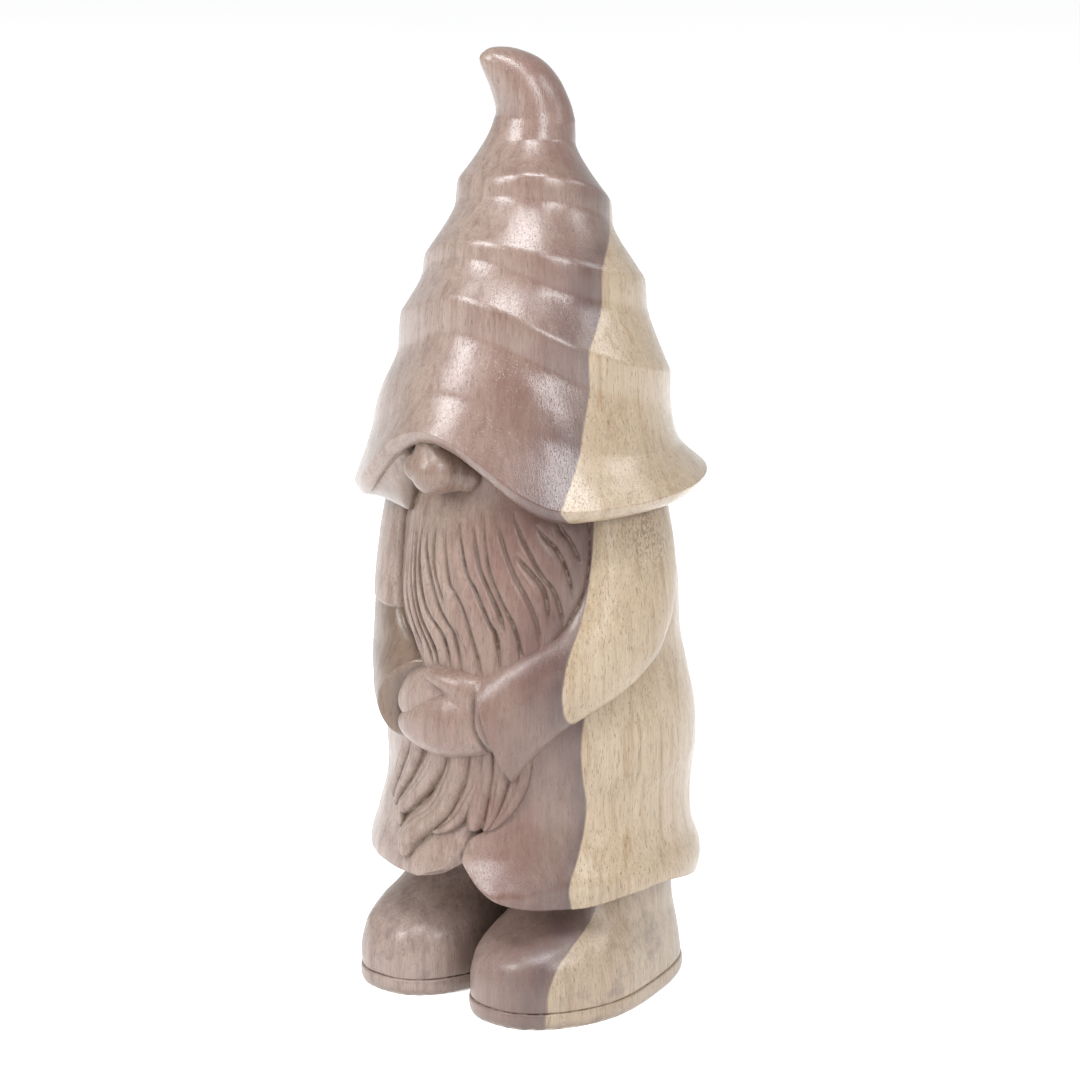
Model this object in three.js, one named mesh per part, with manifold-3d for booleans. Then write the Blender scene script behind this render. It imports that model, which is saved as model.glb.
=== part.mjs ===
// A tomte gnome figurine, hand carved from one block of two-tone wood: a tall slumped hat
// over a big nose, a long beard held by clasped hands, a long coat and round boots.
// The block is divided here along its carved lines, so that each carved element is a solid of its own.
// Millimetres, +Z up. The figure faces -Y, its left side is +X, and it stands on z = 0.
import * as THREE from "three";
import { LoftGeometry } from "three/addons/geometries/LoftGeometry.js";
import { mergeVertices } from "three/addons/utils/BufferGeometryUtils.js";
import Module from "manifold-3d";

const wasm = await Module();
wasm.setup();

// Driving dimensions.
const HAT_TIP_Z = 248.2; // centre of the curled tip's last section
const BRIM_HALF_WIDTH = 46; // the flared brim, seen three-quarter on
const HAT_OVALITY = 1.06; // side-to-side width over front-to-back depth
const BRIM_Z = 134.3; // lower edge of the brim, away from the arch over the nose
const BRIM_TILT = 2.2; // the brim hangs this much lower on the figure's right
const ARCH_RISE = 20.5; // how far the brim lifts over the nose
const ARCH_HALF_ANGLE = 52;
const ARCH_CENTRE = 2; // the arch's and the nose's angle from the front
const BRIM_THICKNESS = 3.6;
const COAT_TOP_Z = 137; // inside the hat's underside
const NOSE_SLOT_ANGLE = 17; // half the opening that the hat leaves around the nose
const HEM_Z = 31.5;
const NOTCH_ANGLE = 10.2; // where the coat's two front edges meet
const BOOT_HALF_WIDTH = 19.1;
const BOOT_SPLAY = 3.4; // how far the left boot's outer side turns out at the front
const BOOT_TOP_Z = 44;
const SOLE_HEIGHT = 4.7;
const GAP = 0.3; // between two elements that touch

const SEGMENTS = 38; // around a full section
const BOOT_SEGMENTS = 28;
const MM_PER_DEGREE = 0.68; // arc length on the coat, to compare angles with heights

const rad = THREE.MathUtils.degToRad;
const { lerp, clamp, smoothstep } = THREE.MathUtils;

// ---------- interpolation ----------

// Value of a table of [key, value, ...] rows at a key, by straight lines between rows.
function tableAt(rows, key) {
  const rising = rows[0][0] < rows[rows.length - 1][0];
  const sorted = rising ? rows : [...rows].reverse();
  const k = clamp(key, sorted[0][0], sorted[sorted.length - 1][0]);
  const i = Math.max(1, sorted.findIndex((row) => row[0] >= k));
  const [low, high] = [sorted[i - 1], sorted[i]];
  const t = (k - low[0]) / (high[0] - low[0]);
  return low.slice(1).map((value, n) => lerp(value, high[n + 1], t));
}

// Value at an angle of a table that closes on itself after a full turn.
function aroundAt(rows, angle) {
  const wrapped = [-360, 0, 360].flatMap((turn) => rows.map(([a, value]) => [a + turn, value]));
  return tableAt(wrapped, angle)[0];
}

// Rows of numbers resampled along a Catmull-Rom curve through them.
function resample(rows, count) {
  const at = (t, n) => {
    const s = t * (rows.length - 1);
    const i = Math.min(Math.floor(s), rows.length - 2);
    const pick = (k) => rows[clamp(k, 0, rows.length - 1)][n];
    const [a, b, c, d] = [pick(i - 1), pick(i), pick(i + 1), pick(i + 2)];
    const f = s - i;
    const slope = (c - a) / 2;
    const nextSlope = (d - b) / 2;
    const bend = 3 * (c - b) - 2 * slope - nextSlope;
    const twist = 2 * (b - c) + slope + nextSlope;
    return b + f * (slope + f * (bend + f * twist));
  };
  return Array.from({ length: count }, (_, k) => rows[0].map((_, n) => at(k / (count - 1), n)));
}

const signedPower = (value, power) => Math.sign(value) * Math.abs(value) ** power;

const centreOf = (points) =>
  points.reduce((sum, point) => sum.add(point), new THREE.Vector3()).divideScalar(points.length);

// A skin over sections, flat at both ends. The sections must turn the right way about the loft.
function loft(sections) {
  const [centre, next] = [centreOf(sections[0]), centreOf(sections[1])];
  const normal = new THREE.Vector3();
  sections[0].forEach((point, i) => {
    const following = sections[0][(i + 1) % sections[0].length];
    normal.add(point.clone().sub(centre).cross(following.clone().sub(centre)));
  });
  const forward = normal.dot(next.sub(centre)) > 0;
  const ordered = forward ? sections : sections.map((points) => [...points].reverse());
  return new LoftGeometry(ordered, { capStart: true, capEnd: true });
}

// A skin over sections that closes to a point at the middle of the first and the last.
function loftToPoints(sections) {
  const pole = (points) => points.map(() => centreOf(points));
  return new LoftGeometry([pole(sections[0]), ...sections, pole(sections[sections.length - 1])]);
}

// ---------- the coat, and points on its surface ----------

// Height, half width, half depth and centre y of the coat's oval sections.
const COAT_ROWS = [
  [HEM_Z, 45.1, 40.4, 1.8],
  [36, 45.9, 41.4, 1.8],
  [45, 43.6, 39.2, 1.8],
  [53, 42.4, 38.2, 3.0],
  [60, 42.6, 38.5, 3.6],
  [66, 43.6, 39.3, 3.4],
  [75, 43.8, 39.4, 2.8],
  [87, 41.8, 37.6, 2.2],
  [95, 40.2, 36.2, 2.0],
  [110, 39.0, 35.2, 2.0],
  [124, 37.3, 33.6, 2.0],
  [COAT_TOP_Z, 35.0, 31.6, 1.6],
  [155, 32.0, 29.0, 1.2],
];

// The point at an angle from the front, towards the figure's left, standing proud of the coat.
// On the figure's right the coat draws in at the waist.
function onCoat(angle, z, proud = 0) {
  const [a, b, y] = tableAt(COAT_ROWS, z);
  const waist = 2.2 * Math.exp(-(((angle + 58) / 38) ** 2) - ((z - 74) / 14) ** 2);
  const out = proud - waist;
  return new THREE.Vector3((a + out) * Math.sin(rad(angle)), y - (b + out) * Math.cos(rad(angle)), z);
}

// How far the hem rises above its lowest points: steeply to the notch, in waves behind.
function hemLift(angle) {
  if (angle > NOTCH_ANGLE) {
    const corner = clamp(1 - (angle - NOTCH_ANGLE) / 31, 0, 1) ** 2;
    return 11.1 * corner + 1.8 * (1 - Math.cos(rad(4.7 * (Math.max(angle, 48) - 48))));
  }
  const corner = clamp(1 - (NOTCH_ANGLE - angle) / 17, 0, 1) ** 2;
  return 5.5 * corner + 2.9 + 1.4 * smoothstep(angle, -90, -30);
}

function coatShape() {
  const levels = [0.45, 0.8, 0.95].map((share) => [HEM_Z + 1.2, share]);
  levels.push([HEM_Z, 0.985]);
  const count = 16;
  for (let i = 0; i < count; i++) levels.push([lerp(HEM_Z + 0.8, COAT_TOP_Z, i / (count - 1)), 1]);
  const sections = levels.map(([z, share]) =>
    Array.from({ length: SEGMENTS }, (_, i) => {
      const across = (i / SEGMENTS) * 2 - 1;
      const angle = NOTCH_ANGLE + 180 * (0.7 * across + 0.3 * across ** 3); // closer together at the front
      const fade = clamp(1 - (z - HEM_Z) / 26, 0, 1);
      const point = onCoat(angle, z);
      const [, , y] = tableAt(COAT_ROWS, z);
      return new THREE.Vector3(point.x * share, lerp(y, point.y, share), z + hemLift(angle) * fade);
    }),
  );
  return loftToPoints(sections);
}

// ---------- elements carved in relief on the coat ----------

// Each station is [angle, z] of one edge, [angle, z] of the other, the height between them and,
// where its middle bows round the coat, by how much in angle.
// A station's section is half an oval that stands proud of the coat, rooted below its surface.
function reliefShape(stations, { count = stations.length, root = 5, fullness = 0.8, sides, gap = 0 }) {
  const turns = Array.from({ length: sides + 1 }, (_, i) => (i / sides) * Math.PI);
  turns.push(1.2 * Math.PI, 1.5 * Math.PI, 1.8 * Math.PI);
  const rows = resample(stations, count);
  const [first, second] = rows;
  const [last, beforeLast] = [rows[rows.length - 1], rows[rows.length - 2]];
  const extend = (end, inner) => {
    const run = Math.hypot((end[0] - inner[0]) * MM_PER_DEGREE, end[1] - inner[1]) || 1;
    return end.map((value, n) => value + ((value - inner[n]) * gap) / run);
  };
  if (gap) rows.splice(0, 1, extend(first, second));
  if (gap) rows.splice(rows.length - 1, 1, extend(last, beforeLast));
  const sections = rows.map(([angleA, zA, angleB, zB, height, bow = 0]) => {
    const half = Math.hypot((angleB - angleA) * MM_PER_DEGREE, zB - zA) / 2;
    const grow = 1 + gap / half;
    return turns.map((turn) => {
      const across = signedPower(Math.cos(turn), fullness) * grow;
      const up = signedPower(Math.sin(turn), fullness);
      const proud = up > 0 ? up * (height + gap) : up * (root + gap);
      return onCoat(
        (angleA + angleB) / 2 + ((angleB - angleA) / 2) * across + bow * Math.max(0, 1 - across ** 2),
        (zA + zB) / 2 + ((zB - zA) / 2) * across,
        proud,
      );
    });
  });
  return loft(sections);
}

// The sleeves run from the shoulder, under the brim, round the elbow to the hanging cuff.
const LEFT_SLEEVE = [
  [60, 139, 112, 139, 4, 0],
  [59, 132, 112, 131, 4.5, 0],
  [57, 122, 110, 121, 5.2, 0],
  [53, 113, 105, 110, 6, 0],
  [46, 106, 92, 98, 7.0, 0],
  [35, 101.5, 72, 89, 7.6, 0],
  [25, 97.5, 52, 82, 8.0, -0.4],
  [19.4, 95, 38, 74, 8.4, -0.6],
  [16.6, 93.8, 29, 64.8, 8.4, -0.4],
];
const RIGHT_SLEEVE = [
  [-36, 139, -112, 139, 4, 0],
  [-35, 132, -112, 131, 4.5, 0],
  [-33, 122, -110, 121, 5.0, 0],
  [-31, 113, -105, 109, 5.0, 0],
  [-28, 106, -94, 100, 5.0, 0],
  [-24, 101.5, -76, 93, 5.0, -2],
  [-17, 98, -53, 85.5, 4.6, -5],
  [-11, 96, -34, 76.5, 5.4, -8.5],
  [-7.5, 95, -17, 71.5, 6.6, -11.5],
];
const UPPER_BEARD = [
  [-20, 152, 30, 152, 3],
  [-26, 144, 54, 144, 4],
  [-28, 136, 62, 136, 5],
  [-28, 128, 61, 128, 5.8],
  [-28, 118, 58, 118, 6.4],
  [-25, 109, 52, 109, 6.6],
  [-18, 101, 46, 101, 6],
  [-10, 94, 40, 94, 5],
  [-6, 88, 36, 88, 3.5],
];

// Eight locks of the beard's lower end: width, height, how blunt the tip is, and the centre line as
// [angle, z] points.
const LOCKS = [
  [6.0, 2.4, 3, [[-15.5, 73], [-20, 67.5], [-26, 61.5], [-31, 56], [-32, 51.5]]],
  [6.4, 2.9, 3, [[-9.5, 74], [-13, 67.5], [-19, 61.5], [-25.5, 55.5], [-29, 50]]],
  [8.0, 3.4, 3, [[1, 75], [-2, 68], [-8.6, 61.7], [-17, 55], [-22.5, 51], [-21, 46]]],
  [8.0, 4.0, 8, [[9, 75], [7.4, 68], [3.9, 62], [-2, 55], [-10, 50], [-15, 45], [-14, 39.4]]],
  [7.0, 2.9, 3, [[15, 75], [13.4, 65.4], [9.2, 59], [5.3, 54], [0.4, 50.6], [-6, 48.4]]],
  [6.4, 3.7, 8, [[19.6, 76], [18.6, 69], [16.6, 64], [14.4, 58.4], [12.9, 50.2]]],
  [6.4, 3.2, 3, [[24.4, 76], [22.8, 68.5], [21, 62.8], [19.4, 57], [17.4, 50.6]]],
  [7.0, 2.5, 3, [[30, 74], [28.6, 66.5], [25.6, 60], [22.4, 55.6], [18.6, 51]]],
];

function lockStations([width, height, blunt, line]) {
  const rows = resample(line, 8);
  return rows.map(([angle, z], i) => {
    const before = rows[Math.max(i - 1, 0)];
    const after = rows[Math.min(i + 1, rows.length - 1)];
    const run = new THREE.Vector2((after[0] - before[0]) * MM_PER_DEGREE, after[1] - before[1]).normalize();
    const t = i / (rows.length - 1);
    const taper = Math.sqrt(clamp(1 - t ** blunt, 0.02, 1));
    const half = (width / 2) * taper;
    const swing = (half * run.y) / MM_PER_DEGREE;
    return [angle - swing, z + half * run.x, angle + swing, z - half * run.x, height * taper];
  });
}

// ---------- rounded forms: nose and hands ----------

// An oval form turned in space, with an optional bulge: [x, y, z, reach, push] in its own frame.
function ovalShape({ centre, half, turn = [0, 0, 0], bulges = [], gap = 0, power = 1 }) {
  const geometry = new THREE.SphereGeometry(1, 18, 10);
  const position = geometry.getAttribute("position");
  const point = new THREE.Vector3();
  const seat = new THREE.Matrix4().makeRotationFromEuler(new THREE.Euler(...turn.map(rad)));
  seat.setPosition(...centre);
  for (let i = 0; i < position.count; i++) {
    point.fromBufferAttribute(position, i);
    point.set(signedPower(point.x, power), signedPower(point.y, power), signedPower(point.z, power));
    let scale = 1;
    for (const [x, y, z, reach, push] of bulges) {
      const distance = point.distanceTo(new THREE.Vector3(x, y, z));
      scale += push * Math.exp(-((distance / reach) ** 2));
    }
    point.multiplyScalar(scale);
    point.set(point.x * (half[0] + gap), point.y * (half[1] + gap), point.z * (half[2] + gap));
    point.applyMatrix4(seat);
    position.setXYZ(i, point.x, point.y, point.z);
  }
  return geometry;
}

const NOSE = {
  centre: [1.6, -36.6, 147],
  half: [9.6, 9.2, 7.4],
  turn: [12, 0, 0],
  bulges: [
    [-0.9, -0.3, -0.35, 0.55, 0.08],
    [0.9, -0.3, -0.35, 0.55, 0.08],
  ],
};
const LEFT_PALM = { centre: [3.6, -38.4, 79.6], half: [16.4, 7.6, 9.4], turn: [8, 6, 0], power: 0.92 };
const LEFT_THUMB = { centre: [7.6, -37.6, 89.3], half: [9.6, 5.4, 3.6], turn: [0, 4, 0], power: 0.92 };
const RIGHT_PALM = { centre: [-6.4, -36.6, 85.4], half: [10.6, 7.4, 8], turn: [0, -12, 0], power: 0.92 };

// ---------- the hat ----------

// Four folds circle the cone. Each has a crisp lower edge: its height at angles round the hat, its
// mean half width seen three-quarter on, and how much wider it is towards the back left. Above the
// edge the side sweeps out, from a share of the way down and with a flare.
const FOLDS = [
  {
    heights: [[-140, 209], [-95, 213], [-50, 216], [0, 218.5], [35, 220.2], [70, 218.6], [130, 210.5]],
    half: 19.4,
    swing: 1.1,
    start: 0,
    flare: 1.25,
  },
  {
    heights: [[-135, 188], [-90, 192], [-50, 196], [-29, 199.8], [10, 203.7], [43, 201.4], [127, 190.5]],
    half: 28.3,
    swing: 1.1,
    start: 0.36,
    flare: 1.15,
  },
  {
    heights: [[-130, 167], [-90, 175], [-27, 184.6], [6, 190.3], [24, 188], [53, 180], [130, 166]],
    half: 35.1,
    swing: 1.5,
    start: 0.36,
    flare: 1.15,
  },
  {
    heights: [[-130, 151], [-90, 154], [-32, 161.3], [6, 167.6], [45, 166.6], [61, 163.4], [130, 150.5]],
    half: 39,
    swing: -1.3,
    start: 0.5,
    flare: 1.15,
  },
];
const CONE_TOP = { z: 231, half: 10.9 };
// The curled tip: distance leaned, height, radius and lean angle of each section.
const TIP_ROWS = [
  [-1.05, CONE_TOP.z, 10.5, 0],
  [-0.75, 234, 9.7, 8],
  [0.8, 238, 8.9, 25],
  [3.0, 241.6, 8.2, 40],
  [6.2, 244.6, 6.6, 52],
  [9.2, 246.7, 4.7, 60],
  [11.3, HAT_TIP_Z, 2.8, 64],
  [12.6, HAT_TIP_Z + 0.4, 1.0, 66],
];
const TIP_LEAN_ANGLE = -35; // the tip leans forward and to the figure's right

// From one edge down to the next: nearly upright at first, then sweeping out.
function foldShare(share, start, flare) {
  const swell = 1 - Math.exp(-share / 0.08);
  const sweep = Math.max(0, (share - start) / (1 - start)) ** flare;
  return 0.1 * swell + 0.9 * sweep;
}

function brimZ(angle) {
  const away = Math.min(1, Math.abs(angle - ARCH_CENTRE) / ARCH_HALF_ANGLE);
  const arch = ARCH_RISE * Math.cos((Math.PI / 2) * away) ** 2.2;
  return BRIM_Z + BRIM_TILT * Math.cos(rad(angle - 130)) + arch;
}

// The inner edge of the brim. On the figure's left it follows the arch, on the right it keeps low
// and opens only beside the nose.
function innerBrimZ(angle) {
  if (angle > ARCH_CENTRE) return brimZ(angle) + 1.5;
  const away = (ARCH_CENTRE - angle) / NOSE_SLOT_ANGLE;
  return BRIM_Z - BRIM_TILT + (ARCH_RISE + 3) * smoothstep(1.35 - away, 0, 0.9);
}

function hatPoint(angle, z, halfWidth) {
  const depth = halfWidth / 1.0357;
  return new THREE.Vector3(depth * HAT_OVALITY * Math.sin(rad(angle)), -depth * Math.cos(rad(angle)), z);
}

// Points round the hat, closer together at the front.
function hatSection(at) {
  return Array.from({ length: SEGMENTS }, (_, i) => {
    const share = (i / SEGMENTS) * 2 - 1;
    return at(ARCH_CENTRE + 180 * (0.75 * share + 0.25 * share ** 3));
  });
}

function hatShape(gap) {
  const sections = [];
  const lean = new THREE.Vector3(Math.sin(rad(TIP_LEAN_ANGLE)), -Math.cos(rad(TIP_LEAN_ANGLE)), 0);
  const side = new THREE.Vector3(0, 0, 1).cross(lean);
  for (const [out, z, radius, tilt] of [...TIP_ROWS].reverse()) {
    const flat = lean.clone().multiplyScalar(Math.cos(rad(tilt)));
    flat.z -= Math.sin(rad(tilt));
    const centre = lean.clone().multiplyScalar(out).add(new THREE.Vector3(0, 0, z));
    sections.push(
      hatSection((angle) => {
        const turn = rad(angle - TIP_LEAN_ANGLE);
        return centre
          .clone()
          .addScaledVector(flat, radius * Math.cos(turn))
          .addScaledVector(side, radius * Math.sin(turn));
      }),
    );
  }
  const edges = [{ at: () => CONE_TOP.z, half: () => CONE_TOP.half }];
  for (const { heights, half, swing, ...sweep } of FOLDS) {
    const at = (angle) => aroundAt(heights, angle);
    edges.push({ at, half: (angle) => half + swing * Math.cos(rad(angle - 130)), ...sweep });
  }
  const brimTop = (angle) => brimZ(angle) + BRIM_THICKNESS;
  edges.push({ at: brimTop, half: () => BRIM_HALF_WIDTH, start: 0.38, flare: 1.9 });
  for (let k = 1; k < edges.length; k++) {
    const [upper, lower] = [edges[k - 1], edges[k]];
    const shares = [0.12, 0.38, 0.6, 0.8];
    if (k < edges.length - 1) shares.push(1);
    for (const share of shares) {
      const out = foldShare(share, lower.start, lower.flare);
      sections.push(
        hatSection((angle) => {
          const z = lerp(upper.at(angle), lower.at(angle), share);
          return hatPoint(angle, z, lerp(upper.half(angle), lower.half(angle), out));
        }),
      );
    }
  }
  // The brim's edge band, then its broad underside, from the edge in to the beard and shoulders.
  const edge = BRIM_HALF_WIDTH + 0.2;
  for (const [inset, rise] of [[0, BRIM_THICKNESS], [0.5, BRIM_THICKNESS - 1.2], [2.6, 0.2], [4, 0]])
    sections.push(hatSection((angle) => hatPoint(angle, brimZ(angle) + rise - gap, edge - inset)));
  const inner = edge - 10;
  for (const share of [0.3, 0.65, 1]) {
    const drop = 1 - (1 - share) ** 2.2;
    const half = lerp(edge - 4, inner, share);
    const underside = (angle) => lerp(brimZ(angle), innerBrimZ(angle), drop) - gap;
    sections.push(hatSection((angle) => hatPoint(angle, underside(angle), half)));
  }
  sections.push(hatSection((angle) => hatPoint(angle, lerp(innerBrimZ(angle), COAT_TOP_Z, 0.5) - gap, 30)));
  sections.push(hatSection((angle) => hatPoint(angle, COAT_TOP_Z - gap, 20)));
  return loftToPoints(sections);
}

// ---------- boots and soles ----------

// Height, half width, toe y and heel y of a boot's sections.
const BOOT_ROWS = [
  [0, -0.6, -37.9, 31.6],
  [1.2, -0.1, -38.5, 32.2],
  [SOLE_HEIGHT, 0, -38.8, 32.3],
  [9, 0, -39.0, 31.6],
  [13.5, -0.4, -38.0, 30.8],
  [17.5, -1.2, -36, 30],
  [20.5, -2.0, -32, 29.4],
  [23, -2.6, -26.6, 29],
  [26, -3.0, -21, 28.6],
  [30, -3.4, -17.4, 28.2],
  [36, -3.8, -15.6, 27.8],
  [BOOT_TOP_Z, -4, -15, 27.4],
];

function bootShape(side, zFrom, zTo, { gap = 0, inset = 0 } = {}) {
  const levels = BOOT_ROWS.map((row) => row[0]).filter((z) => z > zFrom && z < zTo);
  const sections = [zFrom - gap, ...levels, zTo + gap].map((z) => {
    const [widen, toe, heel] = tableAt(BOOT_ROWS, z);
    const half = BOOT_HALF_WIDTH + widen - inset - GAP / 2;
    return Array.from({ length: BOOT_SEGMENTS }, (_, i) => {
      const turn = rad((i / BOOT_SEGMENTS) * 360);
      const along = -signedPower(Math.cos(turn), 0.8);
      const middle = (toe + heel) / 2;
      const reach = (heel - toe) / 2 - inset + gap;
      const narrow = 1 - 0.07 * Math.max(0, along); // the heel is a little narrower than the toe
      const x = side * BOOT_HALF_WIDTH + signedPower(Math.sin(turn), 0.8) * (half * narrow + gap);
      const y = middle + along * reach;
      const splay = side > 0 ? BOOT_SPLAY * Math.exp(-(((y + 14) / 20) ** 2)) : 0;
      return new THREE.Vector3(x * (1 + splay / (2 * BOOT_HALF_WIDTH)), y, z);
    });
  });
  return loft(sections);
}

// ---------- solids, and what each element gives way to ----------

function toSolid(geometry) {
  const bare = new THREE.BufferGeometry().copy(geometry);
  bare.deleteAttribute("normal");
  bare.deleteAttribute("uv");
  const merged = mergeVertices(bare, 1e-3);
  const corners = merged.index.array;
  const triVerts = new Uint32Array(corners.length);
  let count = 0;
  for (let i = 0; i < corners.length; i += 3) {
    const [a, b, c] = [corners[i], corners[i + 1], corners[i + 2]];
    if (a === b || b === c || c === a) continue;
    triVerts.set([a, b, c], count);
    count += 3;
  }
  const used = triVerts.slice(0, count);
  const build = (triangles) =>
    new wasm.Manifold(
      new wasm.Mesh({
        numProp: 3,
        vertProperties: merged.getAttribute("position").array,
        triVerts: triangles,
      }),
    );
  const solid = build(used);
  if (solid.volume() > 0) return solid;
  for (let i = 0; i < used.length; i += 3) [used[i + 1], used[i + 2]] = [used[i + 2], used[i + 1]];
  return build(used);
}

function toGeometry(solid) {
  const mesh = solid.getMesh();
  const geometry = new THREE.BufferGeometry();
  geometry.setAttribute("position", new THREE.BufferAttribute(mesh.vertProperties, 3));
  geometry.setIndex(new THREE.BufferAttribute(mesh.triVerts, 1));
  geometry.computeVertexNormals();
  return geometry;
}

const largestPiece = (solid) => solid.decompose().sort((a, b) => b.volume() - a.volume())[0];

function leftHand(gap) {
  const palm = toSolid(ovalShape({ ...LEFT_PALM, gap }));
  return palm.add(toSolid(ovalShape({ ...LEFT_THUMB, gap })));
}

// Each element's form, grown by a gap where another element has to clear it.
const forms = {
  nose: (gap) => toSolid(ovalShape({ ...NOSE, gap })),
  left_hand: leftHand,
  right_hand: (gap) => toSolid(ovalShape({ ...RIGHT_PALM, gap })),
  left_sleeve: (gap) => toSolid(reliefShape(LEFT_SLEEVE, { count: 16, sides: 10, gap })),
  right_sleeve: (gap) => toSolid(reliefShape(RIGHT_SLEEVE, { count: 16, sides: 10, gap })),
  upper_beard: (gap) => toSolid(reliefShape(UPPER_BEARD, { count: 12, sides: 16, fullness: 0.94, gap })),
  coat: () => toSolid(coatShape()),
  hat: (gap) => toSolid(hatShape(gap)),
};
LOCKS.forEach((lock, i) => {
  forms[`beard_lock_${i + 1}`] = (gap) =>
    toSolid(reliefShape(lockStations(lock), { sides: 5, root: 2.5, fullness: 1, gap }));
});
for (const [name, side] of [["left", 1], ["right", -1]]) {
  forms[`${name}_boot`] = (gap) => toSolid(bootShape(side, SOLE_HEIGHT, BOOT_TOP_Z, { gap, inset: 0.3 }));
  forms[`${name}_sole`] = (gap) => toSolid(bootShape(side, 0, SOLE_HEIGHT - GAP, { gap }));
}

const locks = LOCKS.map((_, i) => `beard_lock_${i + 1}`);
const boots = ["left_boot", "right_boot"];
const sleeves = ["left_sleeve", "right_sleeve"];
const hands = ["left_hand", "right_hand"];

// Which elements stand in front of each one and are cut out of it.
const givesWayTo = {
  right_hand: ["left_hand"],
  left_sleeve: ["left_hand", "hat"],
  right_sleeve: [...hands, "hat"],
  upper_beard: ["nose", "hat", ...sleeves, ...hands],
  coat: ["hat", "upper_beard", ...sleeves, ...hands, ...locks, ...boots],
  hat: ["nose"],
};
// The largest lock lies on top, and each lock gives way to those above it.
const lockOrder = [4, 3, 6, 2, 5, 7, 1, 8].map((n) => `beard_lock_${n}`);
lockOrder.forEach((name, i) => {
  givesWayTo[name] = [...hands, ...sleeves, "upper_beard", ...lockOrder.slice(0, i)];
});

// ---------- materials: brown heartwood, pale sapwood on the figure's left ----------

const heartwood = new THREE.MeshStandardMaterial({ color: 0x94705f, roughness: 0.5, metalness: 0 });
const sapwood = new THREE.MeshStandardMaterial({ color: 0xd0b78e, roughness: 0.6, metalness: 0 });
const mostlySapwood = new Set(["left_sleeve", "left_boot", "left_sole"]);

const figurine = new THREE.Group();
for (const [name, form] of Object.entries(forms)) {
  let solid = form(0);
  for (const other of givesWayTo[name] ?? []) solid = solid.subtract(forms[other](GAP));
  const colour = mostlySapwood.has(name) ? sapwood : heartwood;
  const mesh = new THREE.Mesh(toGeometry(largestPiece(solid)), colour);
  mesh.name = name;
  figurine.add(mesh);
}

export default figurine;
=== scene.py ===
"""A hand-carved two-tone wooden tomte gnome, finely shaped and waxed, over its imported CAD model.

Shapes are worked out in millimetres in the row frame, where the figure faces -Y, and built in metres.
"""

import math

import bpy
import numpy as np
from mathutils import Matrix, Vector


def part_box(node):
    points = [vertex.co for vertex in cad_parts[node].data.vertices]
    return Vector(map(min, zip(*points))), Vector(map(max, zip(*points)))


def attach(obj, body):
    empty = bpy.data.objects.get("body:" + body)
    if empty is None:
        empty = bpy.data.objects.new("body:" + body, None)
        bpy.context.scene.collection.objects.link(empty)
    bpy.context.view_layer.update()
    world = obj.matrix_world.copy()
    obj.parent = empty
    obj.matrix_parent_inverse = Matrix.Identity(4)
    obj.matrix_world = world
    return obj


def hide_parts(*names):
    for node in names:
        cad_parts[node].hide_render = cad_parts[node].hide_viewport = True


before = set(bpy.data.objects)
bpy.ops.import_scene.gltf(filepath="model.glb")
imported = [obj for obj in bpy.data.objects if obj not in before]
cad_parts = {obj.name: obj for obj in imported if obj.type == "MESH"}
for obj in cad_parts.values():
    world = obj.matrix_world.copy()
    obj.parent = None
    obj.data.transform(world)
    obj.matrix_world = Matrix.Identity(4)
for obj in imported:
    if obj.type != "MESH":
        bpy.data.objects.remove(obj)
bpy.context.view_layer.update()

MM = 0.001
MM_PER_DEGREE = 0.68  # arc length on the coat, to compare angles with heights


# ---------- curves and tables ----------


def smooth_table(rows, keys):
    """Columns of a table at these keys, along a smooth curve through its rows."""
    rows = np.array(sorted(rows), float)
    x, y = rows[:, 0], rows[:, 1:]
    slope = np.gradient(y, x, axis=0)
    k = np.clip(np.asarray(keys, float), x[0], x[-1])
    i = np.clip(np.searchsorted(x, k) - 1, 0, len(x) - 2)
    step = (x[i + 1] - x[i])[..., None]
    t = (k - x[i])[..., None] / step
    start = (2 * t**3 - 3 * t**2 + 1) * y[i] + (t**3 - 2 * t**2 + t) * step * slope[i]
    end = (3 * t**2 - 2 * t**3) * y[i + 1] + (t**3 - t**2) * step * slope[i + 1]
    return start + end


def around(rows, angles):
    """One value of a table of (angle, value) rows that closes on itself after a full turn."""
    wrapped = [(a + turn, v) for turn in (-360, 0, 360) for a, v in rows]
    return smooth_table(wrapped, angles)[..., 0]


def resample(points, count):
    """Points spaced evenly in parameter along a smooth curve through the given ones."""
    rows = [(i, *p) for i, p in enumerate(points)]
    return smooth_table(rows, np.linspace(0, len(points) - 1, count))


def smoothstep(x, low, high):
    t = np.clip((x - low) / (high - low), 0, 1)
    return t * t * (3 - 2 * t)


def signed_power(value, power):
    return np.sign(value) * np.abs(value) ** power


# ---------- noise, the same on every run ----------


def lattice(ix, iy, iz, seed):
    """A value from -1 to 1 for each whole-numbered point, by mixing the bits of its coordinates."""
    h = ix * 374761393 + iy * 668265263 + iz * 1440662683 + seed * 974634777
    h = (h ^ (h >> 13)) * 1274126177
    return ((h ^ (h >> 16)) & 0xFFFF) / 32767.5 - 1


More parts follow.
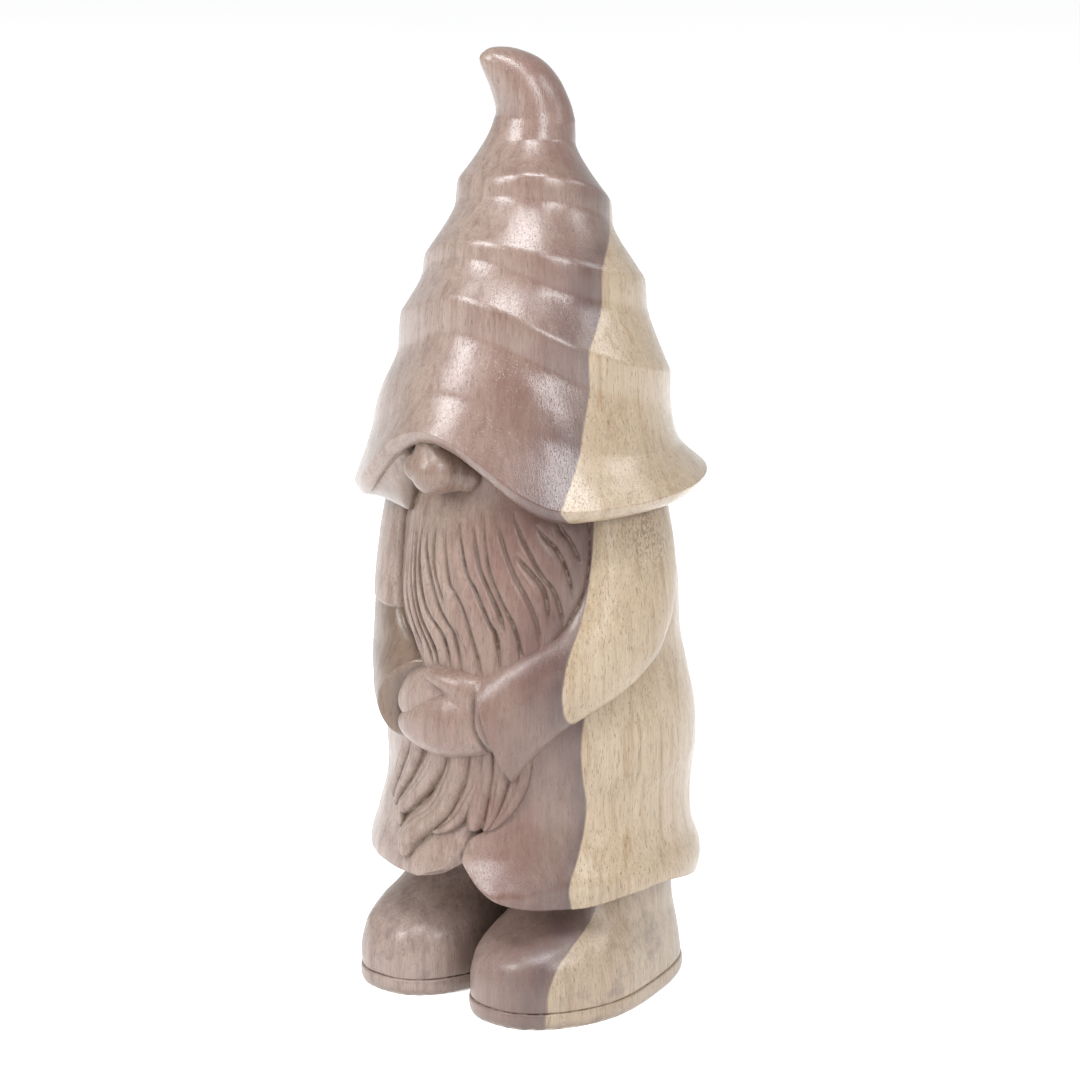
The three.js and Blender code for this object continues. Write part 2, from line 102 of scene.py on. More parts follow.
def noise(points, size, seed=0):
    """Smooth noise from -1 to 1 whose bumps are about size across. Size may be one number or three."""
    q = points / np.asarray(size, float) + 1000.0
    base = np.floor(q).astype(np.int64)
    f = q - base
    f = f * f * (3 - 2 * f)
    total = 0
    for corner in range(8):
        dx, dy, dz = corner & 1, corner >> 1 & 1, corner >> 2 & 1
        weight = (
            (f[..., 0] if dx else 1 - f[..., 0])
            * (f[..., 1] if dy else 1 - f[..., 1])
            * (f[..., 2] if dz else 1 - f[..., 2])
        )
        total = total + weight * lattice(base[..., 0] + dx, base[..., 1] + dy, base[..., 2] + dz, seed)
    return total


def knife_marks(points, depth=0.16, seed=0):
    """The soft unevenness that a gouge and sandpaper leave."""
    return depth * (noise(points, (7, 7, 12), seed) + 0.5 * noise(points, 3.5, seed + 1))


# ---------- meshes ----------


def grid_normals(grid):
    """Unit directions that point out of a grid of sections, one for each of its points."""
    across = np.roll(grid, -1, 1) - np.roll(grid, 1, 1)
    along = np.gradient(grid, axis=0)
    normal = np.cross(across, along)
    normal /= np.linalg.norm(normal, axis=-1, keepdims=True) + 1e-9
    middle = grid.mean(axis=1, keepdims=True)
    outward = np.sign((normal * (grid - middle)).sum())
    return normal * outward


def skin(name, grid, **layers):
    """A closed mesh over a grid of sections (row, point, xyz), in mm, with a face across each end.
    Each layer is one value per grid point that the material can read by its name."""
    rows, columns = grid.shape[:2]
    index = np.arange(rows * columns).reshape(rows, columns)
    following = np.roll(index, -1, 1)
    quads = np.stack([index[:-1], following[:-1], following[1:], index[1:]], -1).reshape(-1, 4)
    a, b, c = (grid.reshape(-1, 3)[quads[:, n]] for n in (0, 1, 2))
    if (np.cross(b - a, c - a) * (a - grid.reshape(-1, 3).mean(0))).sum() < 0:
        quads = quads[:, ::-1]
        caps = [index[0].tolist(), index[-1][::-1].tolist()]
    else:
        caps = [index[0][::-1].tolist(), index[-1].tolist()]
    mesh = bpy.data.meshes.new(name)
    mesh.from_pydata((grid.reshape(-1, 3) * MM).tolist(), [], quads.tolist() + caps)
    mesh.shade_smooth()
    for key, values in layers.items():
        layer = mesh.attributes.new(key, "FLOAT", "POINT")
        layer.data.foreach_set("value", values.astype(np.float32).ravel())
    mesh.validate()
    piece = bpy.data.objects.new(name, mesh)
    bpy.context.scene.collection.objects.link(piece)
    return piece


# ---------- the coat's surface, which everything else sits on ----------

hem_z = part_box("coat")[0].z / MM
coat_top_z = 137
# Height, half width, half depth and where the middle lies along y.
COAT_ROWS = [
    (hem_z, 45.1, 40.4, 1.8),
    (36, 45.9, 41.4, 1.8),
    (45, 43.6, 39.2, 1.8),
    (53, 42.4, 38.2, 3.0),
    (60, 42.6, 38.5, 3.6),
    (66, 43.6, 39.3, 3.4),
    (75, 43.8, 39.4, 2.8),
    (87, 41.8, 37.6, 2.2),
    (95, 40.2, 36.2, 2.0),
    (110, 39.0, 35.2, 2.0),
    (124, 37.3, 33.6, 2.0),
    (coat_top_z, 35.0, 31.6, 1.6),
    (155, 32.0, 29.0, 1.2),
]


def on_coat(angle, z, proud=0.0):
    """Points at an angle from the front, towards the figure's left, standing proud of the coat."""
    half_width, half_depth, middle = np.moveaxis(smooth_table(COAT_ROWS, z), -1, 0)
    waist = 2.2 * np.exp(-(((angle + 58) / 38) ** 2) - ((z - 74) / 14) ** 2)
    turn = np.radians(angle)
    x = (half_width + proud - waist) * np.sin(turn)
    y = middle - (half_depth + proud - waist) * np.cos(turn)
    return np.stack([x, y, z + 0 * x], -1)


def groove_cut(angle, z, path, width, depth, start=0.3, end=0.12, soft=0.35):
    """How deep a groove along a path of (angle, z) points cuts at each angle and height: a narrow V
    with soft shoulders. It runs out to nothing over these shares of its length at its start and end."""
    line = resample(path, 28)
    x, y = angle * MM_PER_DEGREE, z
    nearest = np.full(np.shape(x), 1e9)
    place = np.zeros(np.shape(x))
    for i in range(len(line) - 1):
        ax, ay = line[i][0] * MM_PER_DEGREE, line[i][1]
        bx, by = line[i + 1][0] * MM_PER_DEGREE, line[i + 1][1]
        run = (bx - ax) ** 2 + (by - ay) ** 2 + 1e-9
        t = np.clip(((x - ax) * (bx - ax) + (y - ay) * (by - ay)) / run, 0, 1)
        distance = np.hypot(x - ax - t * (bx - ax), y - ay - t * (by - ay))
        closer = distance < nearest
        nearest = np.where(closer, distance, nearest)
        place = np.where(closer, (i + t) / (len(line) - 1), place)
    taper = np.clip(np.minimum(place / start, (1 - place) / end), 0, 1) ** 0.8
    narrowed = width * (0.45 + 0.55 * taper)
    core = np.exp(-((nearest / narrowed) ** 1.5))
    shoulder = np.exp(-((nearest / (3.4 * width)) ** 1.7))
    return depth * taper * ((1 - soft) * core + soft * shoulder)


CUFF_STEPS = 8


def relief(
    stations, rows, columns, fullness=2.4, skew=0.0, root=4.0, carve=None, marks=0.12, seed=0, cuff=None
):
    """A form carved in relief on the coat. Each station is one edge (angle, z), the other edge
    (angle, z), the height between them and how far its middle bows round in angle.
    carve(angle, z) lowers the surface; a cuff (turn, drop) bevels the last section inwards."""
    line = resample(stations, rows)
    if cuff is not None:
        steps = np.linspace(0, 1, CUFF_STEPS + 1)[1:, None]
        bevel = line[-1] + steps * np.array([cuff[0], 0, cuff[0], 0, -cuff[1], 0])
        line = np.concatenate([line, bevel])
    line = line[:, None, :]

    def place(across):
        angle = (line[..., 0] + line[..., 2]) / 2 + (line[..., 2] - line[..., 0]) / 2 * across
        z = (line[..., 1] + line[..., 3]) / 2 + (line[..., 3] - line[..., 1]) / 2 * across
        return angle + line[..., 5] * (1 - across**2), z

    turn = np.linspace(0, math.pi, columns)[None, :]
    across = 0.6 * np.cos(turn) + 0.4 * (1 - 2 * turn / math.pi)
    leaned = across + skew * (1 - across**2)
    lift = np.clip(1 - np.abs(leaned) ** fullness, 0, 1) ** (1 / fullness)
    angle, z = place(across)
    cut = 0 * angle if carve is None else carve(angle, z) * smoothstep(lift, 0.0, 0.35)
    top = on_coat(angle, z, line[..., 4] * lift - cut)
    top += (lift[..., None] > 0.05) * grid_normals(top) * knife_marks(top, marks, seed)[..., None]
    under = on_coat(*place(np.array([-0.9, -0.45, 0, 0.45, 0.9])[None, :]), -root)
    # The groove depth, kept for the material's painted shade in the grooves.
    hollow = np.concatenate([np.clip(cut, 0, 2), np.zeros(under.shape[:2])], 1)
    return np.concatenate([top, under], 1), hollow


def bone_height(angle, z, bone, power):
    """Height of a rounded ridge along a bone of (angle, z, half width, height) points."""
    best = 0 * angle
    for a, middle, half, height in resample(bone, 160):
        share = np.hypot((angle - a) * MM_PER_DEGREE, z - middle) / half
        best = best + (height * np.clip(1 - share**power, 0, 1) ** (1 / power)) ** 30
    return 0.9 * best ** (1 / 30)


def swelling(centre, bones, power=2.4, root=4.0, rows=76, columns=190, carve=None, marks=0.1, seed=0):
    """A rounded form on the coat that is thick along its bones, meshed round a centre (angle, z)."""
    turn = np.linspace(0, 2 * math.pi, columns, endpoint=False)[None, :]

    def at(reach):
        angle = centre[0] + reach * np.cos(turn) / MM_PER_DEGREE
        z = centre[1] + reach * np.sin(turn)
        height = sum(bone_height(angle, z, bone, power) ** 6 for bone in bones) ** (1 / 6)
        return angle, z, height

    scan = np.linspace(0, 28, 281)[:, None]
    inside = at(scan)[2] > 0
    outline = scan[len(scan) - 1 - np.argmax(inside[::-1], axis=0), 0][None, :]
    smooth = sum(np.roll(outline, k, 1) for k in (-2, -1, 0, 1, 2)) / 5
    share = np.cos(np.linspace(0, math.pi / 2 - 0.004, rows))[::-1, None]
    angle, z, height = at(smooth * share)
    cut = 0 * angle if carve is None else carve(angle, z)
    top = on_coat(angle, z, height - cut)
    top += grid_normals(top) * (knife_marks(top, marks, seed) * (share < 0.97))[..., None]
    under = on_coat(angle[-1:], z[-1:], -root)
    # The groove depth, kept for the material's painted shade in the grooves.
    hollow = np.concatenate([np.clip(cut, 0, 2), np.zeros(under.shape[:2])])
    return np.concatenate([top, under]), hollow


def blob(centre, lobes, blend=0.7, rows=110, columns=160, turn=0):
    """A smooth swelling of overlapping balls (x, y, z, radius) about a centre, turned to the
    figure's left by this many degrees."""
    lat = np.linspace(0.004, math.pi - 0.004, rows)[:, None]
    lon = np.linspace(0, 2 * math.pi, columns, endpoint=False)[None, :]
    ray = np.stack([np.sin(lat) * np.cos(lon), np.sin(lat) * np.sin(lon), np.cos(lat) + 0 * lon], -1)
    total = 0
    for x, y, z, radius in lobes:
        middle = np.array([x, y, z])
        along = ray @ middle
        inside = radius**2 - middle @ middle + along**2
        reach = np.where(inside > 0, along + np.sqrt(np.maximum(inside, 0)), -20)
        total = total + np.exp(np.clip(reach, -20, None) / blend)
    points = ray * (blend * np.log(total))[..., None]
    spin = np.array(Matrix.Rotation(math.radians(turn), 3, "Z"))
    return points @ spin.T + np.array(centre)


# ---------- the hat ----------

TIP_LEAN_ANGLE = -35  # the tip leans forward and to the figure's right
TILT_ANGLE = 130  # the side of the hat where its brim and rings are tilted up
HAT_OVALITY = 1.06
HAT_ROUND = 1.0357  # half width seen three-quarter on, over half depth
# Sections of the tip: how far out along its lean, height, radius and tilt in degrees.
TIP_ROWS = [
    (-1.05, 231.0, 10.5, 0),
    (-0.75, 234.0, 9.7, 8),
    (0.8, 238.0, 8.9, 25),
    (3.3, 241.6, 7.9, 40),
    (6.4, 244.4, 6.2, 50),
    (9.4, 246.4, 4.4, 58),
    (11.6, 247.6, 2.7, 62),
    (12.9, 247.9, 1.1, 64),
    (13.3, 247.9, 0.1, 64),
]
# The lower edge of each fold from the top, as (angle round the hat, height) points.
FOLD_HEIGHTS = [
    [(-140, 209), (-95, 213), (-50, 216), (0, 218.5), (35, 220.2), (70, 218.6), (130, 210.5)],
    [(-135, 188), (-90, 192), (-50, 196), (-29, 199.8), (10, 203.7), (43, 201.4), (127, 190.5)],
    [(-130, 167), (-90, 175), (-27, 184.6), (6, 190.3), (24, 188), (53, 180), (130, 166)],
    [(-130, 151), (-90, 154), (-32, 161.3), (6, 170.2), (42, 165.0), (60, 159.2), (130, 150.5)],
]
# Half width of the hat at each fold's edge: its mean, and its swing from one side to the other.
FOLD_HALF_WIDTHS = [(19.4, 1.1), (28.3, 1.1), (35.1, 1.5), (39.0, -1.3)]
# For each fold from the top: how far down it starts to sweep out, how much later it does so on the
# figure's left, and how gently it starts.
FOLD_SWEEPS = [(0, 0, 1), (0.3, 0, 1), (0.25, 0.12, 1.3), (0.4, 0.05, 1.2), (0.1, 0, 1.7)]
FOLD_STEPS = 40  # rows of the mesh in each fold
BRIM_Z = 134.3
BRIM_TILT = 2.2
ARCH_RISE = 20.5
ARCH_HALF_ANGLE = 52
ARCH_CENTRE = 2
BRIM_THICKNESS = 3.6
BRIM_HALF_WIDTH = 46.2
BRIM_EDGE = [(0, BRIM_THICKNESS), (0.25, 3.0), (0.9, 1.9), (1.8, 0.8), (2.8, 0.15), (4.0, 0)]
BRIM_EDGE_STEPS = 19
BRIM_MARKED_STEPS = 16  # the knife marks stop after these rows, short of the brim's lower corner
NOSE_SLOT_ANGLE = 17


def hat_point(angle, z, half_width):
    depth = half_width / HAT_ROUND
    turn = np.radians(angle)
    return np.stack([depth * HAT_OVALITY * np.sin(turn), -depth * np.cos(turn), z + 0 * angle], -1)


def brim_z(angle):
    away = np.minimum(1, np.abs(angle - ARCH_CENTRE) / ARCH_HALF_ANGLE)
    arch = ARCH_RISE * np.cos(math.pi / 2 * away) ** 2.2
    return BRIM_Z + BRIM_TILT * np.cos(np.radians(angle - TILT_ANGLE)) + arch


def inner_brim_z(angle):
    """The brim's inner edge follows the arch on the figure's left, and keeps low on its right."""
    away = (ARCH_CENTRE - angle) / NOSE_SLOT_ANGLE
    low = BRIM_Z - BRIM_TILT + (ARCH_RISE + 3) * smoothstep(1.35 - away, 0, 0.9)
    return np.where(angle > ARCH_CENTRE, brim_z(angle) + 1.5, low)


def fold_share(share, start, flare):
    """From one fold's edge down to the next: nearly upright at first, then sweeping out."""
    swell = 1 - np.exp(-share / 0.12)
    below = np.clip((share - start) / (1 - start), 0, 1)
    sweep = below ** (1 + flare) / (below**flare + 0.25) * 1.25
    return 0.1 * swell + 0.9 * sweep


def soften(rows, centre, reach):
    """Round off the crease along one row of a grid, over this many rows to each side."""
    padded = np.pad(rows, ((reach, reach), (0, 0), (0, 0)), "edge")
    mean = sum(padded[i : i + len(rows)] for i in range(2 * reach + 1)) / (2 * reach + 1)
    weight = np.exp(-(((np.arange(len(rows)) - centre) / (1.3 * reach)) ** 4))[:, None, None]
    return rows + weight * (mean - rows)


def hat_tip(angle, lean):
    """Round sections that tilt over towards the lean, from the very end down to the first fold."""
    side = np.cross([0, 0, 1], lean)
    turn = np.radians(angle - TIP_LEAN_ANGLE)[None, :, None]
    out, z, radius, tilt = np.moveaxis(resample(TIP_ROWS[::-1], 56), -1, 0)[..., None, None]
    flat = lean * np.cos(np.radians(tilt)) - np.array([0, 0, 1]) * np.sin(np.radians(tilt))
    centre = lean * out + np.array([0, 0, 1]) * z
    return centre + flat * radius * np.cos(turn) + side * radius * np.sin(turn)


def hat_folds(angle, lean):
    """The cone from the tip to the brim's upper edge, one fold after the other."""
    tip_z, tip_radius = TIP_ROWS[0][1:3]
    edges = [tip_z + 0 * angle] + [around(rows, angle) for rows in FOLD_HEIGHTS]
    edges.append(brim_z(angle) + BRIM_THICKNESS)
    halves = [tip_radius * HAT_ROUND + 0 * angle]
    tilt = np.cos(np.radians(angle - TILT_ANGLE))
    halves += [mean + swing * tilt for mean, swing in FOLD_HALF_WIDTHS]
    halves.append(BRIM_HALF_WIDTH + 0 * angle)
    left_side = np.exp(-(((angle - 60) / 35) ** 2))
    folds = []
    last = len(FOLD_SWEEPS) - 1
    for k, (start, late, flare) in enumerate(FOLD_SWEEPS):
        down = np.linspace(0, 1, FOLD_STEPS + 1, endpoint=k == last)[1:, None]
        z = edges[k] + (edges[k + 1] - edges[k]) * down
        share = fold_share(down, start + late * left_side, flare)
        if k == 0:
            left = 0.5 + 0.5 * np.cos(np.radians(angle + 50))
            ledge = 0.12 * down + 0.88 * np.clip((down - 0.3) / 0.7, 0, 1) ** 1.25
            share = ledge * (1 - left) + (0.3 * down + 0.7 * down**1.6) * left
        point = hat_point(angle, z, halves[k] + (halves[k + 1] - halves[k]) * share)
        if k == 0:
            point[..., 0] += (HAT_OVALITY**-1 - 1) * point[..., 0] * (1 - down)
            point -= lean * 1.05 * (1 - down)[..., None]
        folds.append(point)
    cone = np.concatenate(folds)
    for reach in (8, 5):
        cone = soften(cone, last * FOLD_STEPS, reach)
    return cone


def hat_underside(angle):
    """From the brim's edge band up into the space inside, over the nose and shoulders."""
    rings = []
    for step in np.linspace(0, 1, 22)[1:]:
        drop = math.sin(math.pi / 2 * step) ** 1.3
        height = brim_z(angle) + (inner_brim_z(angle) - brim_z(angle)) * drop
        rings.append(hat_point(angle, height, BRIM_HALF_WIDTH - 4 - 6 * step))
    for step in np.linspace(0, 1, 12)[1:]:
        height = inner_brim_z(angle) + (coat_top_z - inner_brim_z(angle)) * smoothstep(step, 0, 1)
        rings.append(hat_point(angle, height, BRIM_HALF_WIDTH - 10 - 16 * step))
    rings.append(hat_point(angle, coat_top_z + 0 * angle, 6))
    return np.array(rings)


def make_hat():
    """The hat in one skin, from the end of its tip down the outside, round the brim and up inside."""
    columns = 280
    share = np.linspace(-1, 1, columns, endpoint=False)
    angle = ARCH_CENTRE + 180 * (0.8 * share + 0.2 * share**3)
    lean_turn = math.radians(TIP_LEAN_ANGLE)
    lean = np.array([math.sin(lean_turn), -math.cos(lean_turn), 0])
    outside = np.concatenate([hat_tip(angle, lean), hat_folds(angle, lean)])
    profile = resample(BRIM_EDGE, BRIM_EDGE_STEPS + 1)[1:]
    edge = [hat_point(angle, brim_z(angle) + rise, BRIM_HALF_WIDTH - inset) for inset, rise in profile]
    underside = hat_underside(angle)
    grid = np.concatenate([outside, edge, underside])
    marks = knife_marks(grid, 0.12, 3) + 0.16 * noise(grid, (16, 16, 12), 9)
    marks[len(outside) + BRIM_MARKED_STEPS :] = 0
    grid += grid_normals(grid) * marks[..., None]
    # Painted shade under the brim: the underside is darkened, and more so further up inside the hat.
    stain = np.zeros(grid.shape[:2])
    stain[-len(underside) :] = smoothstep(np.arange(len(underside)), -4, 14)[:, None]
    hollow = np.zeros(grid.shape[:2])
    hollow[-len(underside) :] = np.linspace(0, 1.6, len(underside))[:, None]
    return skin("hat_carved", grid, stain=stain, hollow=hollow)


# ---------- the coat ----------

PANEL_ANGLE = 10.2  # where the coat's left front edge reaches the hem
# The front edge of the left panel and the line where the facet beside it starts, as (z, angle).
PANEL_EDGE = [(36, 9.4), (42.6, 10.2), (45.5, 11.2), (48.6, 13.3), (50.5, 17.0), (53, 22)]
FACET_EDGE = [(34, -9.5), (36.6, -5.1), (38.8, 1.5), (42.7, 7.3), (46.6, 9.7), (50.5, 10.5), (53, 12)]


def hem_lift(angle):
    """How far the hem rises above its lowest points: steeply to the front edge, in waves behind."""
    left = 11.1 * np.clip(1 - (angle - PANEL_ANGLE) / 31, 0, 1) ** 2
    left += 1.8 * (1 - np.cos(np.radians(4.7 * (np.maximum(angle, 48) - 48))))
    right = 2.9 + 1.4 * smoothstep(angle, -90, -30)
    right += 5.5 * np.clip(1 - (PANEL_ANGLE - angle) / 17, 0, 1) ** 2
    return np.where(angle > PANEL_ANGLE, left, right)


def make_coat():
    """The body, with a lip turned in under the hem, a facet cut back beside the left panel's front
    edge, and a bulge of the hem over the left boot."""
    share = np.linspace(-1, 1, 300)[:-1][None, :]
    base = PANEL_ANGLE + 180 * (0.45 * share + 0.55 * share**3) + 1e-6
    upright = np.concatenate([np.linspace(hem_z, 62, 90), np.linspace(62, coat_top_z, 80)[1:]])
    lip = [(0.45, 2.2), (0.75, 1.6), (0.93, 1.1), (0.965, 0.8), (0.982, 0.4), (0.994, 0.12)]
    levels = np.array([(hem_z + rise, inward) for inward, rise in lip] + [(z, 1) for z in upright])
    z, inward = levels[:, :1], levels[:, 1:]
    fade = np.clip(1 - (z - hem_z) / 26, 0, 1)
    z = z + hem_lift(base) * fade
    panel = smooth_table(PANEL_EDGE, z)[..., 0]
    angle = base + (panel - PANEL_ANGLE) * np.clip(1 - np.abs(base - PANEL_ANGLE) / 40, 0, 1) ** 2
    facet = smooth_table(FACET_EDGE, z)[..., 0]
    depth = 1.0 * MM_PER_DEGREE * np.clip(angle - facet, 0, 12) * (base < PANEL_ANGLE)
    cut = depth * (1 - smoothstep(z, 49.5, 54))
    bulge = 3.7 * np.exp(-(((angle - 26) / 13) ** 2) - ((z - 34) / 5.5) ** 2)
    point = on_coat(angle, z, (bulge - cut) * (inward > 0.9))
    point[..., 0] *= inward
    point[..., 1] = 1.8 + (point[..., 1] - 1.8) * inward
    shape = 0.25 * noise(point, (22, 22, 30), 5) + knife_marks(point, 0.16, 7)
    point += grid_normals(point) * (shape * (inward > 0.9))[..., None]
    return skin("coat_carved", point)


# ---------- beard, sleeves and locks ----------

# The beard and sleeves are lists of stations, as relief() takes them, from the top down.
UPPER_BEARD = [
    (-17, 152, 32, 152, 3, 0),
    (-22, 144, 54, 144, 4.2, 0),
    (-24, 136, 60, 136, 5.4, 0),
    (-24, 128, 60, 128, 6.2, 0),
    (-24, 118, 58, 118, 6.6, 0),
    (-22, 109, 52, 109, 6.7, 0),
    (-16, 101, 46, 101, 6.2, 0),
    (-10, 94, 40, 94, 5.2, 0),
    (-6, 88, 36, 88, 3.5, 0),
]
# Grooves between the strands of the beard, as (angle, z) points from under the nose downwards.
STRANDS = [
    [(-19, 132), (-20, 124), (-19, 116), (-16, 109), (-12, 103), (-8, 98)],
    [(-16.5, 131), (-17.5, 122), (-16.5, 114), (-13, 106), (-9, 101), (-5, 96)],
    [(-14, 133), (-15, 125), (-14, 117), (-11, 110), (-7, 104), (-2.5, 98.5), (0, 93)],
    [(-11, 132), (-12, 125), (-11.4, 118), (-9, 111), (-5, 105), (-0.5, 100), (3, 93)],
    [(-8.5, 132), (-9.6, 126), (-8.6, 119.3), (-3.6, 109.6), (2, 105), (5, 102), (8, 93)],
    [(-5.4, 132), (-6, 127.5), (-4.8, 122), (2.5, 110.5), (6, 106.7), (9.3, 103), (12, 92)],
    [(-1.1, 132.8), (-2, 128.5), (-1.6, 123), (0, 118.4), (2.5, 114.6), (6, 109.5)],
    [(3.4, 133.3), (2.8, 129), (5.9, 117.6), (9.4, 114), (12.8, 109.6), (16.7, 100.6), (19.5, 92)],
    [(9.3, 133.9), (9, 130.3), (12.9, 120), (16.5, 116), (21.9, 107.8), (24.3, 104.3), (26, 94)],
    [(14, 134.6), (14.9, 130.3), (16.3, 124.8), (18, 121), (20.4, 117.5), (24.9, 111), (28, 104)],
    [(18.6, 137), (18.6, 132.6), (20.9, 122), (25.5, 114.2), (30.4, 107.2), (32.5, 100.5), (33.4, 97)],
    [(24.6, 136.5), (24.3, 132.5), (25.8, 128.5), (29.8, 121), (35, 114), (38, 108), (39.4, 100)],
    [(30.2, 136.8), (30.9, 133.3), (34.7, 127.3), (39.8, 120.3), (43.3, 117.3), (46, 112.6), (48, 105)],
    [(30.1, 126.4), (32.2, 124.2), (35.7, 121.3), (39.2, 118.3), (41.2, 114.7), (42.4, 107)],
    [(38.1, 133.6), (40.9, 130.4), (44.3, 127.9), (46.9, 124.9), (48.9, 121.3), (51.6, 114)],
    [(45.6, 135), (48.1, 131.4), (50.8, 128.8), (54.6, 123)],
]
# Shallow knife lines beside them.
SCORES = [
    [(22.5, 111), (25.5, 107.5), (27.5, 104.5)],
    [(11.5, 103.5), (13.5, 100), (14.2, 97)],
    [(29.5, 106.5), (30.5, 103.5), (31, 101)],
    [(-3, 119), (-1.5, 115), (0.5, 111.5)],
    [(8, 108), (11, 103.5), (13, 99)],
    [(34, 128), (37.5, 124), (41, 119.5)],
    [(21.5, 132), (22, 128), (23.5, 124)],
    [(6, 131), (6, 127), (7, 122)],
    [(-21.5, 128), (-21.6, 118), (-19, 110), (-15.5, 104)],
    [(16, 103), (18.4, 98.5), (18.8, 96)],
    [(27, 126), (29.5, 120), (33.5, 113)],
    [(43, 113.5), (44, 110.5), (44.2, 108)],
]


def carve_beard(angle, z):
    """Grooves that differ a little in width and depth, so that none looks machined."""
    cut = 0 * angle
    for k, path in enumerate(STRANDS):
        width = 0.4 + 0.05 * math.sin(3 * k)
        cut = np.maximum(cut, groove_cut(angle, z, path, width, 1.6 + 0.2 * math.sin(5 * k), soft=0.42))
    for path in SCORES:
        cut = np.maximum(cut, groove_cut(angle, z, path, 0.26, 0.7, 0.4, 0.4))
    return cut


LEFT_SLEEVE = [
    (60, 139, 112, 139, 4, 0),
    (59, 132, 112, 131, 4.5, 0),
    (57, 122, 110, 121, 5.2, 0),
    (53, 113, 105, 110, 6, 0),
    (46, 106, 92, 98, 7.0, 0),
    (35, 101.5, 72, 89, 7.6, 0),
    (25, 97.5, 52, 82, 8.0, -0.3),
    (19.8, 95, 38, 74, 8.6, -0.5),
    (17.2, 93.8, 29, 64.8, 8.8, -0.4),
]
RIGHT_SLEEVE = [
    (-36, 139, -112, 139, 4, 0),
    (-35, 132, -112, 131, 4.5, 0),
    (-33, 122, -110, 121, 5.0, 0),
    (-31, 113, -105, 109, 5.0, 0),
    (-28, 106, -94, 100, 5.0, 0),
    (-24, 101.5, -76, 93, 5.0, -2),
    (-17, 98, -53, 85.5, 4.6, -5),
    (-11, 96, -34, 76.5, 5.4, -8.5),
    (-7.5, 95, -17, 71.5, 6.6, -11.5),
]


def carve_left_sleeve(angle, z):
    elbow = groove_cut(angle, z, [(66, 104), (74, 101), (84, 99.5)], 1.3, 0.6, 0.5, 0.5)
    drape = groove_cut(angle, z, [(46, 97), (38, 88), (33, 79), (30, 70)], 2.2, 0.5, 0.5, 0.5)
    return elbow + drape


RIGHT_LEDGE_Z = 104.7


def carve_right_sleeve(angle, z):
    """The upper arm stands a little proud, ending in a level ledge above the elbow."""
    below = (1 - smoothstep(z, RIGHT_LEDGE_Z - 0.4, RIGHT_LEDGE_Z + 0.1)) * smoothstep(z, 88, 100)
    return 0.45 * below * smoothstep(angle, -80, -50)


# Each lock: the middle line from under the hands to its tip, width, height, how much it widens
# towards the tip, and how blunt the tip is.
LOCKS = [
    ([(-15.5, 73), (-20, 67.5), (-26, 61.5), (-31, 56), (-32, 51.5)], 6.6, 2.6, 0, 2.6),
    ([(-9.5, 74), (-13, 67.5), (-19, 61.5), (-25.5, 55.5), (-29, 50)], 7.0, 3.1, 0, 2.6),
    ([(1, 75), (-2, 68), (-8.6, 61.7), (-17, 55), (-22.5, 51), (-21, 46)], 8.8, 3.6, 0, 2.8),
    ([(9, 75), (7.4, 68), (3.9, 62), (-2, 55), (-10, 50), (-15, 45), (-14, 39.4)], 9.0, 4.3, 0.1, 8),
    ([(15, 76), (13.4, 65.4), (9.2, 59), (5.3, 54), (0.4, 50.6), (-6, 48.4)], 8.0, 3.1, 0, 2.4),
    ([(19.6, 77), (18.6, 69), (16.6, 64), (14.4, 58.4), (12.9, 50.2)], 6.8, 4.0, 0.4, 8),
    ([(24.4, 77), (22.8, 68.5), (21, 62.8), (19.4, 57), (17.4, 50.6)], 7.4, 3.5, 0, 3),
    ([(30, 75), (28.6, 66.5), (25.6, 60), (22.4, 55.6), (18.6, 51)], 8.0, 2.7, 0, 2.2),
]


def lock_stations(path, width, height, flare, blunt):
    """Stations of one lock, as relief() takes them: its two edges, square to its middle line."""
    line = resample(path, 40)
    run = np.gradient(line, axis=0) * [MM_PER_DEGREE, 1]
    run /= np.linalg.norm(run, axis=1, keepdims=True)
    t = np.linspace(0, 1, len(line))
    taper = np.sqrt(np.clip(1 - t**blunt, 0.0004, 1)) * (1 + flare * (t - 0.5))
    half = width / 2 * taper
    swing = half * run[:, 1] / MM_PER_DEGREE
    rise = half * run[:, 0]
    edges = [line[:, 0] - swing, line[:, 1] + rise, line[:, 0] + swing, line[:, 1] - rise]
    return np.stack([*edges, height * np.clip(taper, 0, 1), 0 * swing], 1)


